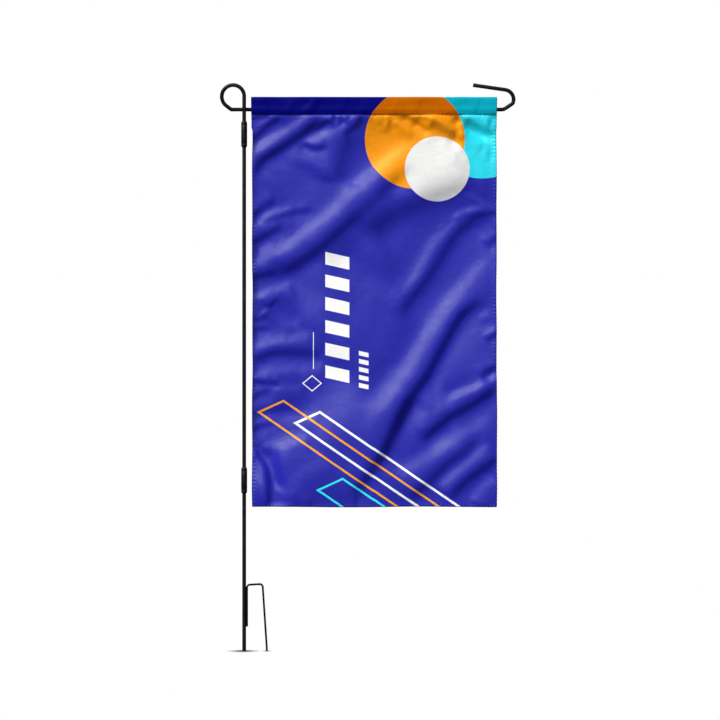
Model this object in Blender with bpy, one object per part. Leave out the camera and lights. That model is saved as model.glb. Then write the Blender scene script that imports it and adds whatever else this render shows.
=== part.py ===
"""Garden flag on a three-piece wire stand.

Metres, +Z up along the pole, +X along the arm and the flag, -Y is the front.
The origin is the centre of the ground stake's flat lower end.
"""
import math

import bmesh
import bpy
from mathutils import Vector

# Fits
GAP = 0.0003                   # left between pieces that touch
SOCKET_CLEARANCE = 0.0003      # radial, rod in coupler
POCKET_SLACK = 0.0004          # radial, arm in cloth pocket

# Wire stand
ROD_RADIUS = 0.0024
ROD_CHAMFER = 0.0004
STAKE_HEIGHT = 0.2123          # ground to the middle of the lower coupler
STUB_DROP = 0.0315             # arm down to the middle of the upper coupler
EYE_RADIUS = 0.0141            # pigtail eye, centreline
EYE_RISE = 0.0160              # eye's centre above the arm
EYE_SWEEP = math.radians(232.5)  # arc of the eye before its straight run down to the arm
EYE_KINK_RADIUS = 0.0030
ARM_SPARE = 0.0087             # straight arm left beyond the flag
HOOK_LEGS = (                  # length, heading from +X in degrees, bend radius before the leg
    (0.0138, 34.0, 0.0080),
    (0.0156, 72.0, 0.0025),
    (0.0550, 171.7, 0.0122),
)

# Couplers
COUPLER_RADIUS = 0.00375
COUPLER_LENGTH = 0.0322
COUPLER_TAPER = 0.0022
COUPLER_LIP = 0.0004           # wall left at the mouth
COUPLER_WEB = 0.0010           # solid stop at mid-length

# Step prong
PRONG_RADIUS = 0.00125
PRONG_LOW_END = 0.0304         # height of the welded side's lower end
PRONG_SHOULDER = 0.0822        # height of the step bar at the stake
PRONG_BAR_RISE = 0.0011
PRONG_REACH = 0.0229           # stake axis to the outer shoulder
PRONG_SPLAY = 0.0053           # the free leg's foot further out than its shoulder
PRONG_BEND = 0.0038
PRONG_FOOT = 0.0030            # upright end of the free leg
WELD_RADIUS = 0.0009
WELD_LENGTH = 0.0100
WELD_INSET = 0.0060            # weld's middle from either end of the welded side

# Flag
FLAG_WIDTH = 0.3050
FLAG_LENGTH = 0.5100
FLAG_GROUND_CLEARANCE = 0.1793
FLAG_TO_COUPLER = 0.00595      # sideways, flag edge to coupler wall
POCKET_HEIGHT = 0.0207
ARM_TO_SEAM = 0.0035           # arm's underside down to the pocket's seam
CLOTH = 0.0005
HEM_CLOTH = 0.0012
SIDE_HEM = 0.0050
BOTTOM_HEM = 0.0060
STITCH_INSET = 0.0034
THREAD_RADIUS = 0.0002
FOLD_DEPTH = 0.0062

# Facets
ROUND_STEPS = 24
WIRE_RESOLUTION = 6            # 16 sides
THREAD_RESOLUTION = 1          # 6 sides
BEND_STEP = math.radians(12.0)
POCKET_STEPS = 32
FLAG_COLUMNS = 14
FLAG_ROWS = 22
MERGE = 0.00001
SHARP = math.radians(40.0)

# What follows from the sizes above
FLAG_TOP = FLAG_GROUND_CLEARANCE + FLAG_LENGTH
ARM_ABOVE_SEAM = ROD_RADIUS + ARM_TO_SEAM
ARM_HEIGHT = FLAG_TOP - POCKET_HEIGHT + ARM_ABOVE_SEAM
ARM_BACK = 2.0 * ROD_RADIUS + GAP          # the arm passes behind its own stub
UPPER_JOINT = ARM_HEIGHT - STUB_DROP
FLAG_LEFT = COUPLER_RADIUS + FLAG_TO_COUPLER
FLAG_RIGHT = FLAG_LEFT + FLAG_WIDTH
ARM_REACH = FLAG_RIGHT + ARM_SPARE
ROD_SEAT = COUPLER_WEB / 2.0 + GAP         # rod end from the coupler's middle
BORE_RADIUS = ROD_RADIUS + SOCKET_CLEARANCE
PRONG_SIDE = ROD_RADIUS + GAP + PRONG_RADIUS
# Heights in the flag are measured from the arm's axis.
SEAM_Z = -ARM_ABOVE_SEAM
FOLD_Z = SEAM_Z + POCKET_HEIGHT
HEM_Z = FOLD_Z - FLAG_LENGTH


def clear_scene():
    for obj in list(bpy.data.objects):
        bpy.data.objects.remove(obj, do_unlink=True)


def material(name, colour, roughness, metallic=0.0):
    mat = bpy.data.materials.new(name)
    mat.use_nodes = True
    shader = mat.node_tree.nodes["Principled BSDF"]
    shader.inputs["Base Color"].default_value = (*colour, 1.0)
    shader.inputs["Roughness"].default_value = roughness
    shader.inputs["Metallic"].default_value = metallic
    return mat


def black_powder_coat(name):
    return material(name, (0.012, 0.012, 0.013), 0.38, 0.3)


def black_plastic(name):
    return material(name, (0.015, 0.015, 0.016), 0.5)


def weld_metal(name):
    return material(name, (0.03, 0.03, 0.032), 0.55, 0.6)


def blue_polyester(name):
    return material(name, (0.048, 0.048, 0.43), 0.75)


def navy_polyester(name):
    return material(name, (0.012, 0.012, 0.26), 0.75)


def blue_thread(name):
    return material(name, (0.06, 0.06, 0.36), 0.6)


def place(obj, parent=None, location=(0.0, 0.0, 0.0)):
    """Put an object at a place given from its parent's origin."""
    bpy.context.scene.collection.objects.link(obj)
    obj.parent = parent
    obj.location = location
    return obj


def axis_empty(name, parent, location):
    return place(bpy.data.objects.new(name, None), parent, location)


def bmesh_object(name, bm, mat):
    mesh = bpy.data.meshes.new(name)
    bm.to_mesh(mesh)
    bm.free()
    mesh.materials.append(mat)
    mesh.shade_smooth()
    mesh.set_sharp_from_angle(angle=SHARP)
    return bpy.data.objects.new(name, mesh)


def turned(name, profile, mat):
    """A solid turned about Z. The (radius, height) profile runs over the top and down outside."""
    points = [(radius, 0.0, height) for radius, height in profile]
    mesh = bpy.data.meshes.new(name)
    mesh.from_pydata(points, [(i, i + 1) for i in range(len(points) - 1)], [])
    mesh.materials.append(mat)
    obj = bpy.data.objects.new(name, mesh)
    screw = obj.modifiers.new("turn", "SCREW")
    screw.axis = "Z"
    screw.angle = 2.0 * math.pi
    screw.steps = ROUND_STEPS
    screw.render_steps = ROUND_STEPS
    screw.use_merge_vertices = True
    screw.merge_threshold = MERGE
    screw.use_smooth_shade = True
    return obj


def straight_rod(name, low, high, mat):
    """A rod with chamfered ends, from low to high along Z."""
    tip = ROD_RADIUS - ROD_CHAMFER
    profile = [
        (0.0, high),
        (tip, high),
        (ROD_RADIUS, high - ROD_CHAMFER),
        (ROD_RADIUS, low + ROD_CHAMFER),
        (tip, low),
        (0.0, low),
    ]
    return turned(name, profile, mat)


def coupler(name, mat):
    """A double-ended socket about its own middle, with a solid web where the rods stop."""
    half = COUPLER_LENGTH / 2.0
    web = COUPLER_WEB / 2.0
    lip = BORE_RADIUS + COUPLER_LIP
    profile = [
        (0.0, web),
        (BORE_RADIUS, web),
        (BORE_RADIUS, half),
        (lip, half),
        (COUPLER_RADIUS, half - COUPLER_TAPER),
        (COUPLER_RADIUS, -half + COUPLER_TAPER),
        (lip, -half),
        (BORE_RADIUS, -half),
        (BORE_RADIUS, -web),
        (0.0, -web),
    ]
    return turned(name, profile, mat)


def weld_bead(name, mat):
    """A capsule about its own middle."""
    straight = WELD_LENGTH / 2.0 - WELD_RADIUS
    quarter = 4
    profile = []
    for end in (1.0, -1.0):
        for k in range(quarter + 1):
            angle = math.pi / 2.0 * (1.0 - k / quarter if end > 0.0 else -k / quarter)
            height = end * straight + WELD_RADIUS * math.sin(angle)
            profile.append((WELD_RADIUS * math.cos(angle), height))
    profile[0] = (0.0, profile[0][1])
    profile[-1] = (0.0, profile[-1][1])
    return turned(name, profile, mat)


def rounded(corners, radii):
    """The polyline through corners, each inner corner replaced by an arc of its radius."""
    points = [corners[0]]
    for before, here, after, radius in zip(corners, corners[1:], corners[2:], radii):
        into = (here - before).normalized()
        out = (after - here).normalized()
        turn = into.angle(out)
        reach = radius * math.tan(turn / 2.0)
        start = here - into * reach
        inward = (out - into * into.dot(out)).normalized()
        centre = start + inward * radius
        steps = max(2, math.ceil(turn / BEND_STEP))
        for k in range(steps + 1):
            angle = turn * k / steps
            points.append(centre + radius * (into * math.sin(angle) - inward * math.cos(angle)))
    points.append(corners[-1])
    return points


def wire(name, points, radius, resolution, mat):
    """A round wire along points, with flat capped ends."""
    curve = bpy.data.curves.new(name, "CURVE")
    curve.dimensions = "3D"
    curve.bevel_depth = radius
    curve.bevel_resolution = resolution
    curve.use_fill_caps = True
    curve.materials.append(mat)
    spline = curve.splines.new("POLY")
    spline.points.add(len(points) - 1)
    for item, point in zip(spline.points, points):
        item.co = (*point, 1.0)
    spline.use_smooth = True
    return bpy.data.objects.new(name, curve)


def arm_route():
    """Stub, pigtail eye, arm and hook, measured from the middle of the upper coupler."""
    eye_z = STUB_DROP + EYE_RISE
    points = [Vector((0.0, 0.0, ROD_SEAT))]
    steps = math.ceil(EYE_SWEEP / BEND_STEP)
    for k in range(steps + 1):
        share = k / steps
        angle = EYE_SWEEP * share
        points.append(Vector((
            EYE_RADIUS * (math.cos(angle) - 1.0),
            ARM_BACK * share * share * (3.0 - 2.0 * share),
            eye_z + EYE_RADIUS * math.sin(angle),
        )))
    last = points.pop()
    run = (last.z - STUB_DROP) * math.tan(EYE_SWEEP)
    corners = [last, last + Vector((run, 0.0, STUB_DROP - last.z))]
    corners.append(Vector((ARM_REACH, ARM_BACK, STUB_DROP)))
    for length, heading, _ in HOOK_LEGS:
        angle = math.radians(heading)
        leg = Vector((length * math.cos(angle), 0.0, length * math.sin(angle)))
        corners.append(corners[-1] + leg)
    return points + rounded(corners, [EYE_KINK_RADIUS] + [radius for _, _, radius in HOOK_LEGS])


def prong_route():
    shoulder = PRONG_SHOULDER + PRONG_BAR_RISE
    foot = PRONG_REACH + PRONG_SPLAY
    corners = [
        Vector((PRONG_SIDE, 0.0, PRONG_LOW_END)),
        Vector((PRONG_SIDE, 0.0, PRONG_SHOULDER)),
        Vector((PRONG_REACH, 0.0, shoulder)),
        Vector((foot, 0.0, PRONG_FOOT)),
        Vector((foot, 0.0, 0.0)),
    ]
    return rounded(corners, [PRONG_BEND, PRONG_BEND, PRONG_BEND])


def weld_place():
    """(x, y) of a bead in the valley behind stake and prong, GAP away from both."""
    to_stake = ROD_RADIUS + GAP + WELD_RADIUS
    to_prong = PRONG_RADIUS + GAP + WELD_RADIUS
    x = (PRONG_SIDE ** 2 + to_stake ** 2 - to_prong ** 2) / (2.0 * PRONG_SIDE)
    return x, math.sqrt(to_stake ** 2 - x ** 2)


def belt(grow):
    """The pocket's (y, z) outline: a belt round the arm, the top fold and the seam."""
    circles = (
        (0.0, ROD_RADIUS + POCKET_SLACK),
        (FOLD_Z - CLOTH - GAP, GAP),
        (SEAM_Z + CLOTH + GAP, GAP),
    )
    outline = []
    for k in range(POCKET_STEPS):
        angle = 2.0 * math.pi * (k + 0.5) / POCKET_STEPS
        across, up = math.cos(angle), math.sin(angle)
        height, radius = max(circles, key=lambda circle: circle[0] * up + circle[1])
        outline.append(((radius + grow) * across, height + (radius + grow) * up))
    return outline


def solidified(obj, thickness, offset):
    solid = obj.modifiers.new("cloth", "SOLIDIFY")
    solid.thickness = thickness
    solid.offset = offset
    solid.use_even_offset = True
    return obj


def pocket(name, mat):
    """A cloth tube along X, open at both ends, about the arm's axis."""
    bm = bmesh.new()
    ring = [bm.verts.new((FLAG_LEFT, y, z)) for y, z in belt(0.0)]
    loop = [bm.edges.new(pair) for pair in zip(ring, ring[1:] + ring[:1])]
    swept = bmesh.ops.extrude_edge_only(bm, edges=loop)["geom"]
    far_end = [item for item in swept if isinstance(item, bmesh.types.BMVert)]
    bmesh.ops.translate(bm, vec=(FLAG_WIDTH, 0.0, 0.0), verts=far_end)
    bmesh.ops.recalc_face_normals(bm, faces=bm.faces)
    return solidified(bmesh_object(name, bm, mat), CLOTH, 1.0)


def pocket_half_width(height):
    """Half the pocket's outer thickness at a height near its seam."""
    outline = [point for point in belt(CLOTH) if point[0] > 0.0]
    outline.sort(key=lambda point: point[1])
    for (y0, z0), (y1, z1) in zip(outline, outline[1:]):
        if z0 <= height <= z1:
            return y0 + (y1 - y0) * (height - z0) / (z1 - z0)
    return outline[0][0]


def drape(x, z):
    """How far the hanging cloth stands behind the arm's plane."""
    across = (x - FLAG_LEFT) / FLAG_WIDTH
    down = (SEAM_Z - z) / (SEAM_Z - HEM_Z)
    ease = min(1.0, down / 0.3)
    fade = ease * ease * (3.0 - 2.0 * ease)
    wide = math.sin(2.0 * math.pi * (1.4 * across + 0.9 * down))
    narrow = math.sin(2.0 * math.pi * (2.3 * across - 1.2 * down) + 1.1)
    return FOLD_DEPTH * fade * (0.6 * wide + 0.4 * narrow)


def stops(low, high, count):
    return [low + (high - low) * k / count for k in range(count + 1)]


def cloth_strip(name, xs, zs, thickness, mat):
    """A sheet over the grid of xs and zs that follows the drape."""
    bm = bmesh.new()
    rows = [[bm.verts.new((x, drape(x, z), z)) for x in xs] for z in zs]
    for low, high in zip(rows, rows[1:]):
        for a, b, c, d in zip(low, low[1:], high[1:], high):
            bm.faces.new((a, b, c, d))
    return solidified(bmesh_object(name, bm, mat), thickness, 0.0)


def hem_thread(name, spots, mat):
    """Thread along spots on the front of a hem."""
    stand_off = HEM_CLOTH / 2.0 + GAP + THREAD_RADIUS
    points = [(x, drape(x, z) - stand_off, z) for x, z in spots]
    return wire(name, points, THREAD_RADIUS, THREAD_RESOLUTION, mat)


def build_stand():
    stake_top = STAKE_HEIGHT - ROD_SEAT
    stake = straight_rod("ground_stake", 0.0, stake_top, black_powder_coat("stake_coat"))
    place(stake)
    coat = black_powder_coat("prong_coat")
    place(wire("step_prong", prong_route(), PRONG_RADIUS, WIRE_RESOLUTION, coat), stake)
    weld_x, weld_y = weld_place()
    upper_z = PRONG_SHOULDER - PRONG_BEND - WELD_INSET
    lower_z = PRONG_LOW_END + WELD_INSET
    for name, height in (("prong_weld_upper", upper_z), ("prong_weld_lower", lower_z)):
        place(weld_bead(name, weld_metal(name + "_metal")), stake, (weld_x, weld_y, height))
    low = coupler("lower_coupler", black_plastic("lower_coupler_plastic"))
    place(low, stake, (0.0, 0.0, STAKE_HEIGHT))
    span = UPPER_JOINT - STAKE_HEIGHT
    pole = straight_rod("middle_pole", ROD_SEAT, span - ROD_SEAT, black_powder_coat("pole_coat"))
    place(pole, low)
    high = coupler("upper_coupler", black_plastic("upper_coupler_plastic"))
    place(high, pole, (0.0, 0.0, span))
    arm = wire("top_arm", arm_route(), ROD_RADIUS, WIRE_RESOLUTION, black_powder_coat("arm_coat"))
    return place(arm, high)


def build_pocket(arm):
    slide = axis_empty("pocket_slide_axis", arm, (0.0, ARM_BACK, STUB_DROP))
    place(pocket("rod_pocket", navy_polyester("pocket_cloth")), slide)
    height = SEAM_Z + CLOTH + THREAD_RADIUS
    front = -(pocket_half_width(height) + GAP + THREAD_RADIUS)
    ends = [(FLAG_LEFT, front, height), (FLAG_RIGHT, front, height)]
    thread = blue_thread("pocket_thread")
    place(wire("pocket_stitching", ends, THREAD_RADIUS, THREAD_RESOLUTION, thread), slide)
    return slide


def build_flag(slide):
    swing = axis_empty("flag_swing_axis", slide, (0.0, 0.0, 0.0))
    top = SEAM_Z - GAP
    hem_top = HEM_Z + BOTTOM_HEM
    rows = stops(hem_top + GAP, top, FLAG_ROWS)
    left = [FLAG_LEFT, FLAG_LEFT + SIDE_HEM]
    right = [FLAG_RIGHT - SIDE_HEM, FLAG_RIGHT]
    middle = stops(left[1] + GAP, right[0] - GAP, FLAG_COLUMNS)
    whole = stops(FLAG_LEFT, FLAG_RIGHT, FLAG_COLUMNS)
    strips = {
        "flag_panel": (middle, rows, CLOTH),
        "left_hem": (left, rows, HEM_CLOTH),
        "right_hem": (right, rows, HEM_CLOTH),
        "bottom_hem": (whole, [HEM_Z, hem_top], HEM_CLOTH),
    }
    for name, (xs, zs, thickness) in strips.items():
        place(cloth_strip(name, xs, zs, thickness, blue_polyester(name + "_cloth")), swing)
    seams = {
        "left_stitching": [(FLAG_LEFT + STITCH_INSET, z) for z in rows],
        "right_stitching": [(FLAG_RIGHT - STITCH_INSET, z) for z in rows],
        "bottom_stitching": [(x, HEM_Z + STITCH_INSET) for x in whole],
    }
    for name, spots in seams.items():
        place(hem_thread(name, spots, blue_thread(name + "_thread")), swing)


clear_scene()
build_flag(build_pocket(build_stand()))
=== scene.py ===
"""Garden flag on a wire stand: the looks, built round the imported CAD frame.

Metres, +Z up, -Y is the front. Sizes on the flat cloth are in millimetres, measured
across from its left edge and down from its top fold.
"""
import math

import bpy
import numpy as np
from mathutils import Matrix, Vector, noise


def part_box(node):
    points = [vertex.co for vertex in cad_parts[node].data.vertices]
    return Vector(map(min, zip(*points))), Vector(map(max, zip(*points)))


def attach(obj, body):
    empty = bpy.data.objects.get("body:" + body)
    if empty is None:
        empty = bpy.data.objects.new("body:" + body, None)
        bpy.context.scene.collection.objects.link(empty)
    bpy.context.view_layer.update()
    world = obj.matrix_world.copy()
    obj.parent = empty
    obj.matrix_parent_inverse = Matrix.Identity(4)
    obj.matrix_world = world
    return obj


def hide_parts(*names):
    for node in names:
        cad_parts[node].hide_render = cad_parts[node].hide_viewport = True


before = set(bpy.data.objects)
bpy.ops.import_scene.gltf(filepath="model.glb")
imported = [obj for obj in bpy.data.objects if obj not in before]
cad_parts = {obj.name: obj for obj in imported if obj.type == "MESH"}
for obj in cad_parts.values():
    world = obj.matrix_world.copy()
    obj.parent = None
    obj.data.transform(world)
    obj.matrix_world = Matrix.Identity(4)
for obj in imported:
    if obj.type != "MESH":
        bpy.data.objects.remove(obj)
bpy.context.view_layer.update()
MM = 0.001

# Camera and lights
CAMERA = Vector((0.1442, -2.4897, 0.3621))
LENS = 100.0
SENSOR = 36.0
CLIP = (0.1, 60.0)
LAMPS = (                      # name, place from the flag's middle, size, power, seen in gloss
    ("key_light", (-5.3, -6.1, 7.2), 3.4, 1560.0, True),
    ("fill_light", (1.4, -4.8, -0.4), 4.0, 42.0, False),
    ("back_light", (3.3, 3.8, 4.5), 2.2, 620.0, False),
)
WORLD_SEEN = 1.0               # how bright the camera sees it
WORLD_LIGHT = 0.13             # how much it lights
FLOOR_SIZE = 24.0
FLOOR_DROP = 0.0002            # below the rods' ends

# The stand's own sizes, as in the CAD, in metres
EYE_RADIUS = 0.0141
EYE_RISE = 0.0160
EYE_SWEEP = math.radians(232.5)
EYE_KINK_RADIUS = 0.0030
ROD_SEAT = 0.0008
STUB_DROP = 0.0315
STUB_STRAIGHT = 0.012
ARM_SPARE = 0.0087             # straight arm beyond the flag
HOOK_LEGS = (                  # length, heading in degrees, bend radius before it
    (0.0138, 34.0, 0.0080),
    (0.0156, 72.0, 0.0025),
    (0.0550, 171.7, 0.0122),
)
SOCKET_CLEARANCE = 0.0003
COUPLER_TAPER = 0.0022
COUPLER_WALL = 0.0004          # at the mouth
COUPLER_STOP = 0.0040          # from mid-length to the bore's floor
COUPLER_SIDES = 72
COUPLER_GROOVE = ((0.00034, 0.0), (0.00026, 0.00008), (0.0001, 0.00022))    # half height, depth
GROOVE_IN = 0.0021             # from the taper to the groove's middle
PARTING_RIB = 0.00003
PARTING_SHARP = 0.08
PRONG_RADIUS = 0.00125
PRONG_LOW_END = 0.0304
PRONG_SHOULDER = 0.0822
PRONG_BAR_RISE = 0.0011
PRONG_REACH = 0.0229
PRONG_SPLAY = 0.0053
PRONG_BEND = 0.0038
PRONG_FOOT = 0.0030
PRONG_SINK = 0.0001            # into the stake, fused by its welds
WELD_RIPPLE = 0.0011
WELD_RIPPLE_SHARE = 0.10
WELD_STEPS = 44
WELD_SIDES = 24
WELD_LUMP = 0.00005
BEND_STEP = math.radians(5.0)
ROD_CHAMFER = 0.0004
END_PART = 0.004
WIRE_CHAMFER = 0.0002
ROD_END = ((0.0, 0.62), (0.0, 0.86), (0.35, 0.95), (1.0, 1.0))  # along its chamfer, share of radius
FLOOR_SHADES = (               # painted shadows round the feet: x, half width, half depth, how dark
    (-0.001, 0.026, 0.015, 0.97),
    (PRONG_REACH + PRONG_SPLAY, 0.008, 0.008, 0.80),
)
ROD_SIDES = 32
WIRE_SIDES = 20
SHARP = 50.0                   # degrees, from where a metal or plastic edge stays sharp

# The cloth, in millimetres
POCKET = 20.7                  # top fold to seam
ALLOWANCE = 5.0                # pocket's back ply below the seam
SIDE_HEM = 5.0
BOTTOM_HEM = 6.0
PLY_GAP = 0.56                 # between the middles of two plies
PLY = 0.36                     # thickness
FOLD_ROUND = 0.35
FOLD_TURN = 1.2                # over which a fold turns to the back
ROUND_ARM = 0.62               # arm's surface to the middle of the ply round it
BELT_STEPS = 360
STITCH_PITCH = 4.7
STITCH_LENGTH = 3.6
STITCH_RADIUS = 0.26
STITCH_SIDES = 7
STITCH_RINGS = 7
HEM_STITCH_IN = 3.4
SEAM_STITCH_DOWN = 0.6         # below the seam's fold
WEAVE = 0.62                   # one over-and-under
CELL = 2.5                     # mesh, halved near the seam and the hems
RELIEF_CELL = 1.5
MARGIN = 3.0                   # of the relief's grid beyond the cloth
DEEPEST = 12.0                 # limit of the relief
HEM_BAND = 8.0                 # finer mesh along the hems
SEAM_BAND = 14.0               # and below the seam

# How far the hanging cloth stands forward, in millimetres
TOP_FORWARD = 1.8
SEAM_FORWARD = 1.6
LOOSE_WAVE = 0.55              # above the arm
SIDE_PUCKER = 0.40
LOW_PUCKER = 0.34
SEAM_PUCKER = 0.26
PUCKER_IN = 2.2                # in from the edge
PUCKER_HALF = 2.6
STEP_BACK = 1.7                # of the panel behind the pocket
STEP_START = 0.3               # above the seam
LEAN_BACK = 5.0                # further back, over about LEAN_OVER
LEAN_OVER = 42.0
LEAN_OUT = 6.0                 # and out again, from LEAN_OUT_FROM on
LEAN_OUT_FROM = 60.0
LEAN_OUT_OVER = 330.0
HEM_STEP = 0.30
HEM_STEP_IN = 4.4
STITCH_SINK = 0.34
STITCH_GROOVE = 0.8

pocket_low, pocket_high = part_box("rod_pocket")
hem_low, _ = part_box("bottom_hem")
rod_low, rod_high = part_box("middle_pole")
stake_low, stake_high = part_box("ground_stake")
ROD = (rod_high.x - rod_low.x) / 2.0
LEFT, RIGHT = pocket_low.x, pocket_high.x
TOP, BOTTOM = pocket_high.z, hem_low.z
MIDDLE_Y = (pocket_low.y + pocket_high.y) / 2.0
WIDTH = (RIGHT - LEFT) / MM
LENGTH = (TOP - BOTTOM) / MM


def middle(node):
    low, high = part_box(node)
    return (low + high) / 2.0


JOINT_Z = middle("upper_coupler").z
ARM_Z = JOINT_Z + STUB_DROP
ARM_DOWN = (TOP - ARM_Z) / MM


# ---------------- shader helpers

class Net:
    """Short ways to add and join the nodes of one material."""

    def __init__(self, name):
        self.material = bpy.data.materials.new(name)
        self.material.use_nodes = True
        self.tree = self.material.node_tree
        self.shader = self.tree.nodes["Principled BSDF"]

    def put(self, socket, value):
        if isinstance(value, bpy.types.NodeSocket):
            self.tree.links.new(value, socket)
        elif value is not None:
            socket.default_value = value

    def node(self, kind, **settings):
        made = self.tree.nodes.new(kind)
        for key, value in settings.items():
            setattr(made, key, value)
        return made

    def math(self, operation, *values, clamp=False):
        made = self.node("ShaderNodeMath", operation=operation, use_clamp=clamp)
        for socket, value in zip(made.inputs, values):
            self.put(socket, value)
        return made.outputs[0]

    def ramp(self, value, low, high, to_low=0.0, to_high=1.0):
        made = self.node("ShaderNodeMapRange", interpolation_type="SMOOTHSTEP")
        for socket, item in zip(made.inputs, (value, low, high, to_low, to_high)):
            self.put(socket, item)
        return made.outputs[0]

    def mix(self, share, first, second, blend="MIX"):
        made = self.node("ShaderNodeMix", data_type="RGBA", blend_type=blend)
        self.put(made.inputs[0], share)
        self.put(made.inputs[6], first)
        self.put(made.inputs[7], second)
        return made.outputs[2]

    def noise(self, place, scale, detail=2.0, roughness=0.5):
        made = self.node("ShaderNodeTexNoise")
        self.put(made.inputs["Vector"], place)
        self.put(made.inputs["Scale"], scale)
        self.put(made.inputs["Detail"], detail)
        self.put(made.inputs["Roughness"], roughness)
        return made.outputs["Fac"]

    def bump(self, height, distance, strength=1.0, after=None):
        made = self.node("ShaderNodeBump")
        self.put(made.inputs["Strength"], strength)
        self.put(made.inputs["Distance"], distance)
        self.put(made.inputs["Height"], height)
        self.put(made.inputs["Normal"], after)
        return made.outputs["Normal"]

    def stretched(self, place, scale):
        made = self.node("ShaderNodeVectorMath", operation="MULTIPLY")
        self.put(made.inputs[0], place)
        made.inputs[1].default_value = scale
        return made.outputs[0]

    def place(self):
        return self.node("ShaderNodeTexCoord").outputs["Object"]

    def set(self, **values):
        for key, value in values.items():
            self.put(self.shader.inputs[key.replace("_", " ")], value)


def grey(value):
    return (value, value, value * 1.03, 1.0)


def powder_coat(name, gloss, scuffed):
    """Black powder coat: orange peel, slight gloss changes and, up to a height, scuffs."""
    net = Net(name)
    place = net.place()
    peel = net.noise(place, 900.0, 2.0, 0.55)
    cloudy = net.noise(place, 60.0, 3.0, 0.6)
    scratch = net.noise(net.stretched(place, (900.0, 900.0, 45.0)), 1.0, 2.0, 0.7)
    colour = net.mix(net.ramp(cloudy, 0.35, 0.7), grey(0.0052), grey(0.0075))
    rough = net.ramp(cloudy, 0.3, 0.7, 0.40, 0.50)
    if scuffed:
        height = net.node("ShaderNodeSeparateXYZ")
        net.put(height.inputs[0], place)
        low = net.ramp(height.outputs[2], 0.0, scuffed, 1.0, 0.0)
        worn = net.math("MULTIPLY", low, net.ramp(scratch, 0.56, 0.66))
        colour = net.mix(net.math("MULTIPLY", worn, 0.6), colour, grey(0.045))
        rough = net.math("MULTIPLY_ADD", worn, 0.15, rough)
    net.set(Base_Color=colour, Roughness=rough, Specular_IOR_Level=gloss)
    net.set(Normal=net.bump(scratch, 0.000006, 0.4, net.bump(peel, 0.00003, 0.6)))
    return net.material


def moulded_plastic(name):
    """Black sleeve plastic with a fine matt grain."""
    net = Net(name)
    place = net.place()
    grain = net.noise(place, 2600.0, 1.0, 0.5)
    cloudy = net.noise(place, 120.0, 2.0, 0.5)
    net.set(
        Base_Color=net.mix(net.ramp(cloudy, 0.3, 0.7), grey(0.0055), grey(0.0080)),
        Roughness=net.ramp(cloudy, 0.3, 0.7, 0.46, 0.56),
        Specular_IOR_Level=0.22,
        Normal=net.bump(grain, 0.00003, 0.6),
    )
    return net.material


def coated_weld(name):
    """Weld metal under the same black coat, duller and spattered."""
    net = Net(name)
    place = net.place()
    spatter = net.noise(place, 1600.0, 3.0, 0.6)
    net.set(
        Base_Color=net.mix(net.ramp(spatter, 0.5, 0.7), grey(0.008), grey(0.022)),
        Roughness=net.ramp(spatter, 0.3, 0.7, 0.45, 0.65),
        Metallic=0.2,
        Normal=net.bump(spatter, 0.00012, 0.8),
    )
    return net.material


# ---------------- the printed cloth

BLUE = (0.007, 0.009, 0.410, 1.0)
ORANGE = (0.950, 0.310, 0.000, 1.0)
CYAN = (0.010, 0.750, 0.920, 1.0)
WHITE = (0.800, 0.800, 0.815, 1.0)
BRIGHT = (1.000, 1.000, 1.000, 1.0)
DISCS = (                      # middle across and down, radius, colour
    (285.5, 31.5, 69.4, CYAN),
    (203.0, 51.8, 62.1, ORANGE),
    (230.5, 88.7, 40.5, WHITE),
)
RIBBON_SLOPE = math.radians(34.3)
RIBBON_END = math.radians(24.5)
RIBBONS = (                    # tip across and down, width, line, colour
    (80.0, 488.4, 31.5, 2.5, (0.020, 0.880, 1.000, 1.0)),
    (51.5, 405.5, 31.5, 2.9, BRIGHT),
    (5.9, 391.8, 31.5, 2.5, (1.000, 0.390, 0.000, 1.0)),
)
BAR_LEAN = 0.22
BARS = (                       # across from, to, down from, pitch, bar, how many
    (91.5, 121.5, 199.0, 28.2, 15.5, 6),
    (133.5, 145.5, 318.0, 10.0, 5.6, 5),
)
RULE = (76.6, 0.45, 292.0, 338.0)          # across, half width, down from, to
DIAMOND = (75.0, 356.0, 11.5, 9.5, 0.085)  # middle, half sizes, line as a share
EDGE = 0.12                                # softness of a printed edge
BAR_START = 0.5                            # where a row of bars starts above its first bar
CLOTH_GLOSS = 0.41
POCKET_GLOSS = 0.03
# painted shade on the pocket: its colour darkened by this share and deepened by this gamma
POCKET_PAINTED_SHADE = 0.54
POCKET_SHADE_GAMMA = 1.3


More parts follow.
